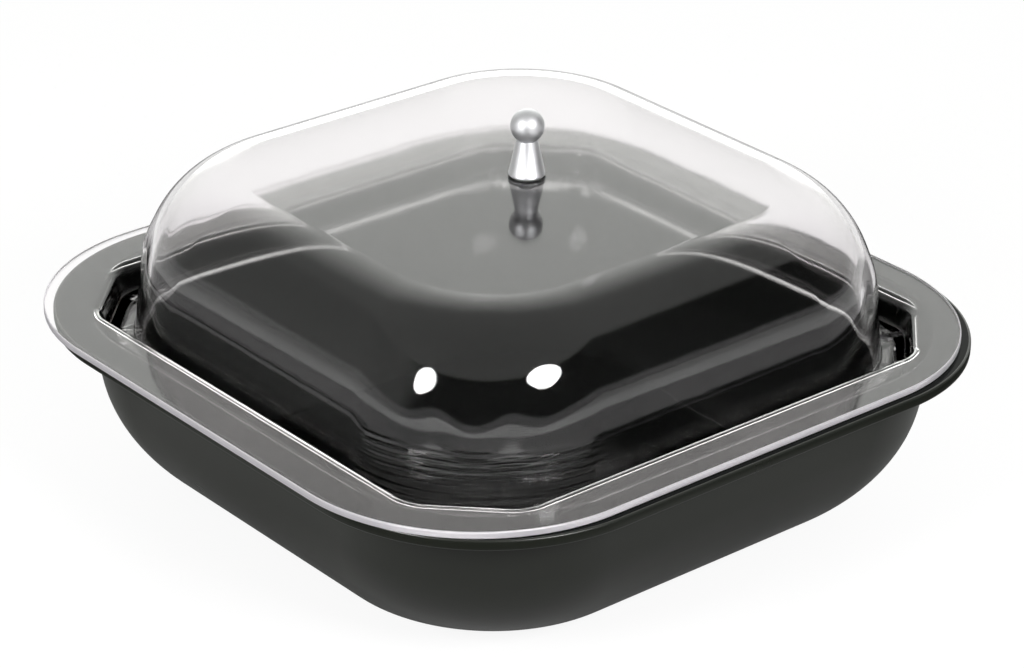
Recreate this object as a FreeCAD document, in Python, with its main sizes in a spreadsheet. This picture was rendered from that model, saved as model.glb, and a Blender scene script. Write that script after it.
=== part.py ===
import FreeCAD, Part
import math
import os
import Sketcher

# Square tray with a clear cover that lifts off by a turned knob.
#
# Frame: millimetres, +Z up. The origin is the middle of the tray's flat base, and X and Y run along
# the tray's sides. The cover rests on the tray's rim, a little off the middle, within its play.

# ---------------------------------------------------------------- driving dimensions

DIMENSIONS = (
    # the tray
    ("rim_half", 160.0, "half the rim's side, outside"),
    ("rim_corner", 82.0, "corner radius of the rim's outline"),
    ("rim_thick", 4.5, "rim thickness"),
    ("rim_edge", 0.8, "rounding of the rim's outer edges"),
    ("rim_width", 11.9, "rim's edge to the outside of the body's wall, at the rim's top"),
    ("corner_step", 8.4, "how much smaller the body's corner radius is than the rim's"),
    ("tray_height", 78.0, "base to rim top"),
    ("round_start", 49.7, "height at which the wall turns into the large round"),
    ("round_from", 9.0, "degrees along the round's ellipse at which it meets the wall"),
    ("base_reach", 54.3, "how far the round reaches in, from the wall to the flat base"),
    ("base_corner", 50.3, "corner radius of the flat base"),
    ("wall", 3.0, "tray wall and floor"),
    ("mouth_edge", 2.0, "rounding of the mouth's edge"),
    ("rim_root", 3.0, "rounding where the rim's underside meets the wall"),
    # the cover
    ("sheet_thick", 3.0, "clear sheet"),
    ("cover_shift_x", -0.6, "cover's axis from the tray's, along X"),
    ("cover_shift_y", -1.3, "cover's axis from the tray's, along Y"),
    ("trim_shift_x", -2.7, "flange's outline from the cover's axis, along X"),
    ("trim_shift_y", -1.3, "flange's outline from the cover's axis, along Y"),
    ("trim_edge", 0.6, "rounding of the flange's trimmed edge"),
    ("skirt_gap", 7.6, "mouth to skirt along the straight sides, with the cover centred"),
    ("skirt_play", 2.1, "mouth's corner to the round ends of the skirt's cut corners, centred"),
    ("skirt_bend", 18.0, "plan radius at each end of a cut corner, outside"),
    ("groove_depth", 12.1, "flange top to groove floor"),
    ("groove_lean", 2.6, "how far the skirt leans in over the groove's depth"),
    ("roll_radius", 4.5, "rounding from the flange's top into the groove"),
    ("foot_round", 2.0, "rounding under the skirt's foot"),
    ("channel", 0.4, "skirt to dome at the level of the foot, along the straight sides"),
    ("dome_step", 1.7, "how much smaller the dome's corner radius is than the mouth's"),
    ("shoulder_start", 16.7, "flange top to the start of the shoulder"),
    ("shoulder_from", 7.3, "degrees along the shoulder's ellipse at which it meets the wall"),
    ("shoulder_reach", 36.1, "how far the shoulder reaches in, to the flat top"),
    ("top_corner", 46.3, "corner radius of the flat top"),
    ("dome_rise", 60.4, "flange top to dome top"),
    ("cover_hole_play", 0.5, "cover's hole wider than the screw by this"),
    # the knob and its screw
    ("knob_shift_x", 3.6, "knob's axis from the cover's, along X"),
    ("knob_shift_y", 6.8, "knob's axis from the cover's, along Y"),
    ("seal_thick", 0.6, "clear washer under the knob"),
    ("seal_step", 0.6, "cone's foot beyond the clear washer, all round"),
    ("cone_foot", 15.2, "cone diameter at its foot"),
    ("cone_top", 9.0, "cone diameter under the ball"),
    ("cone_land", 1.0, "straight land at the cone's foot"),
    ("cone_height", 15.4, "cone height"),
    ("cone_break", 0.25, "broken edges of the cone"),
    ("ball_width", 14.2, "ball diameter"),
    ("ball_step", 0.6, "cone's top beyond the ball's flat, all round"),
    ("hole_play", 0.3, "holes in the cone, washer and seals wider than the screw by this"),
    ("inner_seal_thick", 1.2, "soft washer inside the dome"),
    ("inner_seal_width", 16.0, "its diameter"),
    ("washer_thick", 1.0, "steel washer"),
    ("washer_width", 12.0, "its diameter"),
    ("screw_width", 4.0, "screw thread, outside"),
    ("thread_pitch", 0.7, "screw thread's pitch"),
    ("screw_bite", 8.8, "how far the screw goes into the ball"),
    ("tap_spare", 1.2, "tapped hole beyond the screw's tip"),
    ("screw_tip", 0.5, "chamfer at the screw's tip"),
    ("head_width", 7.6, "screw head diameter"),
    ("head_height", 2.2, "screw head height"),
    ("head_round", 1.2, "rounding of the head's edge"),
    ("socket_width", 2.5, "hexagon socket, across its flats"),
    ("socket_depth", 1.3, "hexagon socket depth"),
)

doc = FreeCAD.newDocument("CoveredTray")
sheet = doc.addObject("Spreadsheet::Sheet", "Sizes")
for row, (alias, number, meaning) in enumerate(DIMENSIONS, start=1):
    sheet.set(f"A{row}", meaning)
    sheet.set(f"B{row}", str(number))
    sheet.setAlias(f"B{row}", alias)
doc.recompute()

# The tray's and the dome's forms are lofts. Sections are drawn at these parts of the straight wall,
# counted from the large round, and at these parts of the round's angle, counted from the wall.
# The large rounds are arcs of an ellipse that the straight wall meets at a tangent.
WALL_PARTS = (1, 0.6, 0.25)
ROUND_PARTS = (0, 0.16, 0.33, 0.5, 0.67, 0.84, 1)
# Two heights or reaches closer than this count as the same when edges are picked.
SAME = 0.05
# The same where the outline lies between two sections of a loft.
LOFT_NEAR = 0.5
QUARTER_TURN = math.pi / 2
# A cut corner turns the outline twice by this.
CUT_TURN = math.pi / 4


def size(expression):
    """The number that an expression on the sheet's values gives now."""
    return float(sheet.evalExpression(expression.replace("Sizes.", "")))


# ---------------------------------------------------------------- sketches

def origin_plane(body, role):
    """The body's own origin plane with this role."""
    for feature in body.Origin.OriginFeatures:
        if feature.Role == role:
            return feature
    raise ValueError(f"{body.Name} has no {role}")


def new_body(label, x="0", y="0", z="0"):
    """A body whose place in the object follows the sheet."""
    body = doc.addObject("PartDesign::Body", label)
    body.Label = label
    for axis, expression in zip("xyz", (x, y, z)):
        body.setExpression(f"Placement.Base.{axis}", expression)
    return body


def new_sketch(body, name, plane="XY_Plane", level="0"):
    """An empty sketch on one of the body's origin planes, raised to a level."""
    sketch = body.newObject("Sketcher::SketchObject", name)
    sketch.AttachmentSupport = [(origin_plane(body, plane), "")]
    sketch.MapMode = "FlatFace"
    sketch.setExpression("AttachmentOffset.Base.z", level)
    return sketch


def dimension(sketch, name, expression, *definition):
    """A named dimension of the sketch, bound to an expression."""
    index = sketch.addConstraint(Sketcher.Constraint(*definition, size(expression)))
    sketch.renameConstraint(index, name)
    sketch.setExpression(f"Constraints.{name}", expression)


def rounded_square(body, name, level, half, corner, shift_x="0", shift_y="0"):
    """A square with round corners, drawn as four arcs and four lines, anticlockwise."""
    sketch = new_sketch(body, name, level=level)
    radius = size(corner)
    centre_x = size(shift_x)
    centre_y = size(shift_y)
    flat = size(half) - radius
    up = FreeCAD.Vector(0, 0, 1)
    quarter = FreeCAD.Rotation(up, 90)
    middle = FreeCAD.Vector(centre_x, centre_y, 0)
    centre = FreeCAD.Vector(flat, -flat, 0)
    along = FreeCAD.Vector(radius, 0, 0)
    for turn in range(4):
        circle = Part.Circle(middle + centre, up, radius)
        start = (turn - 1) * QUARTER_TURN
        arc = Part.ArcOfCircle(circle, start, start + QUARTER_TURN)
        line = Part.LineSegment(middle + centre + along, middle + quarter.multVec(centre) + along)
        sketch.addGeometry(arc, False)
        sketch.addGeometry(line, False)
        centre = quarter.multVec(centre)
        along = quarter.multVec(along)
    for arc in range(0, 8, 2):
        line = arc + 1
        sketch.addConstraint(Sketcher.Constraint("Tangent", arc, 2, line, 1))
        sketch.addConstraint(Sketcher.Constraint("Tangent", line, 2, (arc + 2) % 8, 1))
    for line in (1, 5):
        sketch.addConstraint(Sketcher.Constraint("Vertical", line))
    for line in (3, 7):
        sketch.addConstraint(Sketcher.Constraint("Horizontal", line))
    for arc in (2, 4, 6):
        sketch.addConstraint(Sketcher.Constraint("Equal", 0, arc))
    sketch.addConstraint(Sketcher.Constraint("Equal", 1, 3))
    dimension(sketch, "corner", corner, "Radius", 0)
    dimension(sketch, "width", f"2 * ({half})", "DistanceX", 5, 1, 1, 1)
    dimension(sketch, "east", f"({half}) + ({shift_x})", "DistanceX", -1, 1, 1, 1)
    dimension(sketch, "north", f"({half}) + ({shift_y})", "DistanceY", -1, 1, 3, 1)
    return sketch


def cut_square(body, name, level, half, cut):
    """A square with its corners cut off at 45 degrees, drawn as eight lines, anticlockwise."""
    sketch = new_sketch(body, name, level=level)
    reach = size(half)
    flat = reach - size(cut)
    quarter = FreeCAD.Rotation(FreeCAD.Vector(0, 0, 1), 90)
    low = FreeCAD.Vector(reach, -flat, 0)
    high = FreeCAD.Vector(reach, flat, 0)
    for turn in range(4):
        after = quarter.multVec(low)
        sketch.addGeometry(Part.LineSegment(low, high), False)
        sketch.addGeometry(Part.LineSegment(high, after), False)
        low = after
        high = quarter.multVec(high)
    for line in range(8):
        sketch.addConstraint(Sketcher.Constraint("Coincident", line, 2, (line + 1) % 8, 1))
    horizontal_axis = -1
    vertical_axis = -2
    for line, axis in ((0, horizontal_axis), (4, horizontal_axis), (2, vertical_axis), (6, vertical_axis)):
        sketch.addConstraint(Sketcher.Constraint("Symmetric", line, 1, line, 2, axis))
    for line in (2, 4, 6):
        sketch.addConstraint(Sketcher.Constraint("Equal", 0, line))
    dimension(sketch, "flat", f"2 * (({half}) - ({cut}))", "DistanceY", 0, 1, 0, 2)
    dimension(sketch, "east", half, "DistanceX", -1, 1, 0, 1)
    dimension(sketch, "north", half, "DistanceY", -1, 1, 2, 1)
    dimension(sketch, "west", half, "DistanceX", 4, 1, -1, 1)
    dimension(sketch, "south", half, "DistanceY", 6, 1, -1, 1)
    return sketch


def disc(body, name, width, level="0", x="0", y="0"):
    """A circle, by its diameter."""
    sketch = new_sketch(body, name, level=level)
    middle = FreeCAD.Vector(size(x), size(y), 0)
    sketch.addGeometry(Part.Circle(middle, FreeCAD.Vector(0, 0, 1), size(width) / 2), False)
    dimension(sketch, "width", width, "Diameter", 0)
    if x == "0" and y == "0":
        sketch.addConstraint(Sketcher.Constraint("Coincident", 0, 3, -1, 1))
    else:
        dimension(sketch, "across", x, "DistanceX", -1, 1, 0, 3)
        dimension(sketch, "along", y, "DistanceY", -1, 1, 0, 3)
    return sketch


def hexagon(body, name, level, across_flats):
    """A hexagon about the body's axis, held by a guide circle through its points."""
    sketch = new_sketch(body, name, level=level)
    across_points = f"2 * {across_flats} / sqrt(3)"
    up = FreeCAD.Vector(0, 0, 1)
    point = FreeCAD.Vector(size(across_points) / 2, 0, 0)
    sixth = FreeCAD.Rotation(up, 60)
    for _side in range(6):
        after = sixth.multVec(point)
        sketch.addGeometry(Part.LineSegment(point, after), False)
        point = after
    guide = sketch.addGeometry(Part.Circle(FreeCAD.Vector(0, 0, 0), up, size(across_points) / 2), True)
    for side in range(6):
        sketch.addConstraint(Sketcher.Constraint("Coincident", side, 2, (side + 1) % 6, 1))
        sketch.addConstraint(Sketcher.Constraint("PointOnObject", side, 1, guide))
    for side in range(1, 6):
        sketch.addConstraint(Sketcher.Constraint("Equal", 0, side))
    sketch.addConstraint(Sketcher.Constraint("Coincident", guide, 3, -1, 1))
    sketch.addConstraint(Sketcher.Constraint("PointOnObject", 0, 1, -1))
    dimension(sketch, "across_points", across_points, "Diameter", guide)
    return sketch


# ---------------------------------------------------------------- features

def settle(feature):
    """Recompute, and stop at a feature that failed."""
    doc.recompute()
    if {"Invalid", "Error"} & set(feature.State) or feature.Shape.isNull():
        raise RuntimeError(f"{feature.Name} failed: {feature.State}")
    return feature


def loft(body, name, kind, sections, ruled):
    """A loft, AdditiveLoft or SubtractiveLoft, through sections in order."""
    feature = body.newObject(f"PartDesign::{kind}", name)
    feature.Profile = sections[0]
    feature.Sections = sections[1:]
    feature.Ruled = ruled
    for sketch in sections:
        sketch.Visibility = False
    return settle(feature)


def pad(body, name, sketch, length, downwards=False):
    """A pad of a sketch, upwards unless told otherwise."""
    feature = body.newObject("PartDesign::Pad", name)
    feature.Profile = sketch
    feature.setExpression("Length", length)
    feature.Reversed = downwards
    return settle(feature)


def pocket(body, name, sketch, length, upwards):
    """A pocket of a sketch. It is refused if it takes nothing away."""
    before = body.Shape.Volume
    feature = body.newObject("PartDesign::Pocket", name)
    feature.Profile = sketch
    feature.setExpression("Length", length)
    feature.Reversed = upwards
    settle(feature)
    if feature.Shape.Volume > before - SAME:
        raise ValueError(f"{name} cuts nothing")
    return feature


def revolve(body, name, sketch):
    """A full turn of a sketch on the XZ plane about the body's Z axis."""
    feature = body.newObject("PartDesign::Revolution", name)
    feature.Profile = sketch
    feature.ReferenceAxis = (sketch, ["V_Axis"])
    feature.Angle = 360.0
    return settle(feature)


def named_edges(base, wanted):
    """The names of the base feature's edges that a test wants. None at all is refused."""
    names = [f"Edge{number}" for number, edge in enumerate(base.Shape.Edges, start=1) if wanted(edge)]
    if not names:
        raise ValueError(f"no such edge on {base.Name}")
    return names


def round_edges(body, name, base, radius, wanted):
    """A fillet on every edge of the base feature that the test wants."""
    feature = body.newObject("PartDesign::Fillet", name)
    feature.Base = (base, named_edges(base, wanted))
    feature.setExpression("Radius", radius)
    return settle(feature)


def level_edge(level, off_outline, near=SAME):
    """A test for edges that lie flat at a level and follow an outline.

    off_outline(x, y) is the distance outside the outline, in plan, and is asked at the edge's middle.
    """
    def wanted(edge):
        box = edge.BoundBox
        if abs(box.ZMin - level) > SAME or abs(box.ZMax - level) > SAME:
            return False
        middle = edge.valueAt((edge.FirstParameter + edge.LastParameter) / 2)
        return abs(off_outline(middle.x, middle.y)) < near
    return wanted


def round_outline(half, corner, centre_x=0.0, centre_y=0.0):
    """Distance outside a square with round corners."""
    def off_outline(x, y):
        beyond_x = abs(x - centre_x) - half + corner
        beyond_y = abs(y - centre_y) - half + corner
        outside = (max(beyond_x, 0.0) ** 2 + max(beyond_y, 0.0) ** 2) ** 0.5
        return outside + min(max(beyond_x, beyond_y), 0.0) - corner
    return off_outline


def cut_outline(half, cut):
    """Distance outside a square with its corners cut off at 45 degrees."""
    def off_outline(x, y):
        across = (abs(x) + abs(y) - 2 * half + cut) / 2 ** 0.5
        return max(abs(x) - half, abs(y) - half, across)
    return off_outline


def standing_edge(low, high):
    """A test for edges that run between two levels."""
    def wanted(edge):
        box = edge.BoundBox
        return abs(box.ZMin - low) < SAME and abs(box.ZMax - high) < SAME
    return wanted


# ---------------------------------------------------------------- forms

class WallForm:
    """A wall and the large round that follows it, as expressions on the sheet.

    Seen in the wall's own section, the round is the last part of a quarter ellipse. It starts at an
    angle at which the ellipse lies along the wall, so the wall's lean follows from it. The half side
    is given at the wall's open end, which lies at a distance before the round.
    """

    def __init__(self, half, distance, corner, end_corner, reach, rise, start_angle, direction, inset):
        self.distance = distance
        self.corner = f"({corner} - {inset})"
        self.corner_change = f"({end_corner} - {corner})"
        self.start = start_angle
        self.across = f"(({reach} - {inset}) / cos({start_angle} * 1 deg))"
        self.upright = f"(({rise} - {inset}) / (1 - sin({start_angle} * 1 deg)))"
        self.lean = f"({self.across} / {self.upright} * tan({start_angle} * 1 deg))"
        self.half = f"({half} - {inset} - {self.lean} * {distance})"
        self.direction = direction

    def wall(self, part):
        """Half side, corner radius and rise at a part of the wall, counted from the round."""
        gone = f"{self.distance} * {part}"
        return f"{self.half} + {self.lean} * {gone}", self.corner, f"-{self.direction} * {gone}"

    def round(self, part):
        """The same three at a part of the round, from 0 at the wall to 1 at the flat."""
        angle = f"(({self.start} + (90 - {self.start}) * {part}) * 1 deg)"
        gone = f"(cos({self.start} * 1 deg) - cos({angle}))"
        half = f"{self.half} - {self.across} * {gone}"
        corner = f"{self.corner} + {self.corner_change} * {gone} / cos({self.start} * 1 deg)"
        rise = f"{self.direction} * {self.upright} * (sin({angle}) - sin({self.start} * 1 deg))"
        return half, corner, rise

    def loft(self, body, kind, prefix, round_level):
        """A loft through the wall and the round, as a solid to add or to take away."""
        sections = []
        for number, part in enumerate(WALL_PARTS):
            half, corner, rise = self.wall(part)
            name = f"{prefix}Wall{number}"
            sections.append(rounded_square(body, name, f"{round_level} + {rise}", half, corner))
        for number, part in enumerate(ROUND_PARTS):
            half, corner, rise = self.round(part)
            name = f"{prefix}Round{number}"
            sections.append(rounded_square(body, name, f"{round_level} + {rise}", half, corner))
        return loft(body, f"{prefix}Form", kind, sections, False)

    def outline(self, part):
        """The outline at a part of the wall, as a test of places in plan."""
        half, corner, _rise = self.wall(part)
        return round_outline(size(half), size(corner))


# ---------------------------------------------------------------- tray

BODY_CORNER = "(Sizes.rim_corner - Sizes.corner_step)"


def tray_form(inset):
    """The tray's wall and round, moved inwards. The wall's open end is at the rim's top."""
    return WallForm("(Sizes.rim_half - Sizes.rim_width)", "(Sizes.tray_height - Sizes.round_start)",
                    BODY_CORNER, "Sizes.base_corner", "Sizes.base_reach", "Sizes.round_start",
                    "Sizes.round_from", -1, inset)


def make_tray():
    """The tray: a flat rim round a deep body with one wall thickness all over."""
    body = new_body("tray")
    rim = rounded_square(body, "RimOutline", "Sizes.tray_height", "Sizes.rim_half", "Sizes.rim_corner")
    pad(body, "Rim", rim, "Sizes.rim_thick", downwards=True)
    outer = tray_form("0")
    inner = tray_form("Sizes.wall")
    outer.loft(body, "AdditiveLoft", "Outer", "Sizes.round_start")
    last = inner.loft(body, "SubtractiveLoft", "Inner", "Sizes.round_start")
    top = size("tray_height")
    under = size("tray_height - rim_thick")
    rim_outline = round_outline(size("rim_half"), size("rim_corner"))
    under_part = 1 - size("rim_thick / (tray_height - round_start)")
    last = round_edges(body, "MouthEdge", last, "Sizes.mouth_edge", level_edge(top, inner.outline(1)))
    last = round_edges(body, "RimRoot", last, "Sizes.rim_root",
                       level_edge(under, outer.outline(under_part), LOFT_NEAR))
    last = round_edges(body, "RimTopEdge", last, "Sizes.rim_edge", level_edge(top, rim_outline))
    round_edges(body, "RimLowEdge", last, "Sizes.rim_edge", level_edge(under, rim_outline))
    return body


# ---------------------------------------------------------------- cover

# The skirt fits the tray's mouth. Its outside is given in the plane of the flange's underside, which
# is the rim's top. Where a cut corner begins and ends, the skirt is rounded, and those round ends
# come nearest to the mouth's corner, so the cut is as long as their play leaves it.
MOUTH_HALF = "(Sizes.rim_half - Sizes.rim_width - Sizes.wall)"
MOUTH_CORNER = f"({BODY_CORNER} - Sizes.wall)"
SKIRT_HALF = f"({MOUTH_HALF} - Sizes.skirt_gap)"
BEND_AWAY = f"({MOUTH_CORNER} - Sizes.skirt_play - Sizes.skirt_bend)"
BEND_ACROSS = f"({MOUTH_CORNER} - Sizes.skirt_gap - Sizes.skirt_bend)"
BEND_ALONG = f"sqrt(pow({BEND_AWAY}; 2) - pow({BEND_ACROSS}; 2))"
SKIRT_CUT = f"({BEND_ACROSS} + Sizes.skirt_bend * (1 - tan(22.5 * 1 deg)) - {BEND_ALONG})"
GROOVE_BEND = "(Sizes.skirt_bend - Sizes.sheet_thick)"
# drops below the flange's underside
FLANGE_TOP = "-Sizes.sheet_thick"
GROOVE_FLOOR = "(Sizes.groove_depth - Sizes.sheet_thick)"
SKIRT_FOOT = "Sizes.groove_depth"


def skirt_outline(drop, inwards):
    """Half side and corner cut of the skirt at a drop below the flange's underside, moved inwards.

    A move inwards shortens the corner cut by 2 - sqrt(2) of it, so that the cut's own wall is as
    thick as the straight ones.
    """
    move = f"(({inwards}) + Sizes.groove_lean * ({drop}) / Sizes.groove_depth)"
    return f"{SKIRT_HALF} - {move}", f"{SKIRT_CUT} - (2 - sqrt(2)) * {move}"


def skirt_square(body, name, drop, inwards):
    """The skirt's section at a drop below the flange's underside, moved inwards."""
    return cut_square(body, name, f"-({drop})", *skirt_outline(drop, inwards))


def skirt_edge(drop, inwards, bend):
    """A test for the edges round the skirt at a drop, whose corners are rounded by this much."""
    half, cut = skirt_outline(drop, inwards)
    # a rounded corner lies inside its sharp outline by this
    inside = size(bend) * (1 / math.cos(CUT_TURN / 2) - 1)
    return level_edge(-size(drop), cut_outline(size(half), size(cut)), inside + SAME)


def dome_form(inset):
    """The dome's wall and shoulder, moved inwards. The wall's open end is at the skirt's foot."""
    skirt_inside = skirt_outline(SKIRT_FOOT, "Sizes.sheet_thick")[0]
    return WallForm(f"({skirt_inside} - Sizes.channel)",
                    "(Sizes.groove_depth + Sizes.sheet_thick + Sizes.shoulder_start)",
                    f"({MOUTH_CORNER} - Sizes.dome_step)", "Sizes.top_corner", "Sizes.shoulder_reach",
                    "(Sizes.dome_rise - Sizes.shoulder_start)", "Sizes.shoulder_from", 1, inset)


def make_cover():
    """The cover: one clear sheet, as flange, skirt, groove with four corner pockets, and dome.

    Its own origin is on the dome's axis, in the plane of the flange's underside.
    """
    body = new_body("dome_cover", "Sizes.cover_shift_x", "Sizes.cover_shift_y", "Sizes.tray_height")
    outline = rounded_square(body, "FlangeOutline", "0", "Sizes.rim_half", "Sizes.rim_corner",
                             "Sizes.trim_shift_x", "Sizes.trim_shift_y")
    pad(body, "Flange", outline, "Sizes.sheet_thick")
    skirt_top = skirt_square(body, "SkirtTop", "0", "0")
    skirt_foot = skirt_square(body, "SkirtFoot", SKIRT_FOOT, "0")
    last = loft(body, "Skirt", "AdditiveLoft", [skirt_top, skirt_foot], True)
    last = round_edges(body, "SkirtCorners", last, "Sizes.skirt_bend",
                       standing_edge(-size(SKIRT_FOOT), 0.0))
    groove_top = skirt_square(body, "GrooveTop", FLANGE_TOP, "Sizes.sheet_thick")
    groove_floor = skirt_square(body, "GrooveFloor", GROOVE_FLOOR, "Sizes.sheet_thick")
    last = loft(body, "Groove", "SubtractiveLoft", [groove_top, groove_floor], True)
    last = round_edges(body, "GrooveCorners", last, GROOVE_BEND,
                       standing_edge(-size(GROOVE_FLOOR), -size(FLANGE_TOP)))
    last = round_edges(body, "Roll", last, "Sizes.roll_radius",
                       skirt_edge(FLANGE_TOP, "Sizes.sheet_thick", GROOVE_BEND))
    last = round_edges(body, "RollUnderside", last, "Sizes.roll_radius - Sizes.sheet_thick",
                       skirt_edge("0", "0", "Sizes.skirt_bend"))
    round_edges(body, "SkirtFootEdge", last, "Sizes.foot_round",
                skirt_edge(SKIRT_FOOT, "0", "Sizes.skirt_bend"))
    shoulder = "Sizes.sheet_thick + Sizes.shoulder_start"
    dome_form("0").loft(body, "AdditiveLoft", "Outer", shoulder)
    dome_form("Sizes.sheet_thick").loft(body, "SubtractiveLoft", "Inner", shoulder)
    hole = disc(body, "ScrewHole", "Sizes.screw_width + Sizes.cover_hole_play",
                "Sizes.sheet_thick + Sizes.dome_rise", "Sizes.knob_shift_x", "Sizes.knob_shift_y")
    last = pocket(body, "ScrewWay", hole, "2 * Sizes.sheet_thick", upwards=False)
    trimmed = round_outline(size("rim_half"), size("rim_corner"),
                            size("trim_shift_x"), size("trim_shift_y"))
    last = round_edges(body, "TrimTopEdge", last, "Sizes.trim_edge",
                       level_edge(size("sheet_thick"), trimmed))
    round_edges(body, "TrimLowEdge", last, "Sizes.trim_edge", level_edge(0.0, trimmed))
    return body


# ---------------------------------------------------------------- knob and screw

KNOB_X = "Sizes.cover_shift_x + Sizes.knob_shift_x"
KNOB_Y = "Sizes.cover_shift_y + Sizes.knob_shift_y"
DOME_TOP = "Sizes.tray_height + Sizes.sheet_thick + Sizes.dome_rise"
CONE_FOOT = f"{DOME_TOP} + Sizes.seal_thick"
BALL_SEAT = f"{CONE_FOOT} + Sizes.cone_height"
INNER_TOP = f"{DOME_TOP} - Sizes.sheet_thick"
WASHER_TOP = f"{INNER_TOP} - Sizes.inner_seal_thick"
HEAD_SEAT = f"{WASHER_TOP} - Sizes.washer_thick"
SCREW_LENGTH = f"{BALL_SEAT} + Sizes.screw_bite - ({HEAD_SEAT})"
HOLE_WIDTH = "Sizes.screw_width + Sizes.hole_play"


def knob_body(label, z):
    """A body on the knob's axis."""
    return new_body(label, KNOB_X, KNOB_Y, z)


def make_washer(label, z, thick, width):
    """A flat round washer whose top is at its own origin."""
    body = knob_body(label, z)
    pad(body, f"{label}_disc", disc(body, f"{label}_outline", width), thick, downwards=True)
    hole = disc(body, f"{label}_hole", HOLE_WIDTH)
    pocket(body, f"{label}_bore", hole, thick, upwards=False)
    return body


def profile(body, name, points, arc=None):
    """A closed outline on the XZ plane, each corner placed by two expressions.

    The sides are straight, but an arc is (number of the corner where it starts, height of its
    centre on the axis).
    """
    sketch = new_sketch(body, name, "XZ_Plane")
    corners = [FreeCAD.Vector(size(across), size(up), 0) for across, up in points]
    count = len(points)
    for number in range(count):
        start = corners[number]
        end = corners[(number + 1) % count]
        if arc and number == arc[0]:
            centre = FreeCAD.Vector(0, size(arc[1]), 0)
            radius = start.distanceToPoint(centre)
            sketch.addGeometry(Part.Arc(start, centre + FreeCAD.Vector(radius, 0, 0), end), False)
            sketch.addConstraint(Sketcher.Constraint("PointOnObject", number, 3, -2))
        else:
            sketch.addGeometry(Part.LineSegment(start, end), False)
    for number in range(count):
        sketch.addConstraint(Sketcher.Constraint("Coincident", number, 2, (number + 1) % count, 1))
    for number, (across, up) in enumerate(points):
        dimension(sketch, f"across{number}", across, "DistanceX", -1, 1, number, 1)
        dimension(sketch, f"up{number}", up, "DistanceY", -1, 1, number, 1)
    return sketch


def make_cone():
    """The knob's conical foot, with a plain hole through it."""
    body = knob_body("knob_cone", CONE_FOOT)
    bore = f"({HOLE_WIDTH}) / 2"
    foot = "Sizes.cone_foot / 2"
    outline = profile(body, "ConeProfile", (
        (bore, "0"),
        (f"{foot} - Sizes.cone_break", "0"),
        (foot, "Sizes.cone_break"),
        (foot, "Sizes.cone_land"),
        ("Sizes.cone_top / 2", "Sizes.cone_height - Sizes.cone_break"),
        ("Sizes.cone_top / 2 - Sizes.cone_break", "Sizes.cone_height"),
        (bore, "Sizes.cone_height"),
    ))
    revolve(body, "ConeTurned", outline)
    return body


def make_ball():
    """The ball, with a flat to sit on and a blind tapped hole, drawn at the thread's minor width."""
    body = knob_body("knob_ball", BALL_SEAT)
    radius = "Sizes.ball_width / 2"
    seat = "(Sizes.cone_top / 2 - Sizes.ball_step)"
    centre = f"sqrt(pow({radius}; 2) - pow({seat}; 2))"
    minor = "(Sizes.screw_width - Sizes.thread_pitch) / 2"
    depth = "Sizes.screw_bite + Sizes.tap_spare"
    outline = profile(body, "BallProfile", (
        (minor, "0"),
        (seat, "0"),
        ("0", f"{centre} + {radius}"),
        ("0", depth),
        (minor, depth),
    ), arc=(1, centre))
    revolve(body, "BallTurned", outline)
    return body


def make_screw():
    """The screw: its own origin is under its head, and it points up."""
    body = knob_body("knob_screw", HEAD_SEAT)
    head = pad(body, "Head", disc(body, "HeadOutline", "Sizes.head_width"), "Sizes.head_height",
               downwards=True)
    low = -size("head_height")
    round_edges(body, "HeadRound", head, "Sizes.head_round", standing_edge(low, low))
    pad(body, "Shank", disc(body, "ShankOutline", "Sizes.screw_width"), SCREW_LENGTH)
    socket = hexagon(body, "SocketOutline", "-Sizes.head_height", "Sizes.socket_width")
    last = pocket(body, "Socket", socket, "Sizes.socket_depth", upwards=True)
    tip = body.newObject("PartDesign::Chamfer", "Tip")
    wanted = standing_edge(size(SCREW_LENGTH), size(SCREW_LENGTH))
    tip.Base = (last, named_edges(last, wanted))
    tip.setExpression("Size", "Sizes.screw_tip")
    settle(tip)
    return body


# ---------------------------------------------------------------- the whole object

pieces = [
    make_tray(),
    make_cover(),
    make_washer("knob_seal", CONE_FOOT, "Sizes.seal_thick", "Sizes.cone_foot - 2 * Sizes.seal_step"),
    make_cone(),
    make_ball(),
    make_washer("inner_seal", INNER_TOP, "Sizes.inner_seal_thick", "Sizes.inner_seal_width"),
    make_washer("inner_washer", WASHER_TOP, "Sizes.washer_thick", "Sizes.washer_width"),
    make_screw(),
]
doc.recompute()

for item in doc.Objects:
    if {"Invalid", "Error"} & set(item.State):
        raise RuntimeError(f"{item.Name} failed: {item.State}")
for piece in pieces:
    if piece.Shape.isNull() or not piece.Shape.isValid() or len(piece.Shape.Solids) != 1:
        raise RuntimeError(f"{piece.Label} is not one sound solid")

os.makedirs("parts", exist_ok=True)
for piece in pieces:
    piece.Shape.exportStep(f"parts/{piece.Label}.step")
    box = piece.Shape.BoundBox
    print(f"{piece.Label}: {box.XLength:.1f} x {box.YLength:.1f} x {box.ZLength:.1f} mm,"
          f" {piece.Shape.Volume / 1000:.2f} cm3, from z {box.ZMin:.2f} to {box.ZMax:.2f}")
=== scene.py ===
"""Square tray with a clear cover that lifts off by a turned knob.

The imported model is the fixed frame. Lengths are metres, +Z is up, and the origin is the middle of
the tray's flat base. Each new piece stands for one node of the frame and keeps its size and place.
"""

import logging
import math
from dataclasses import dataclass
from enum import Enum

import bmesh
import bpy
from mathutils import Matrix, Vector

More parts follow.
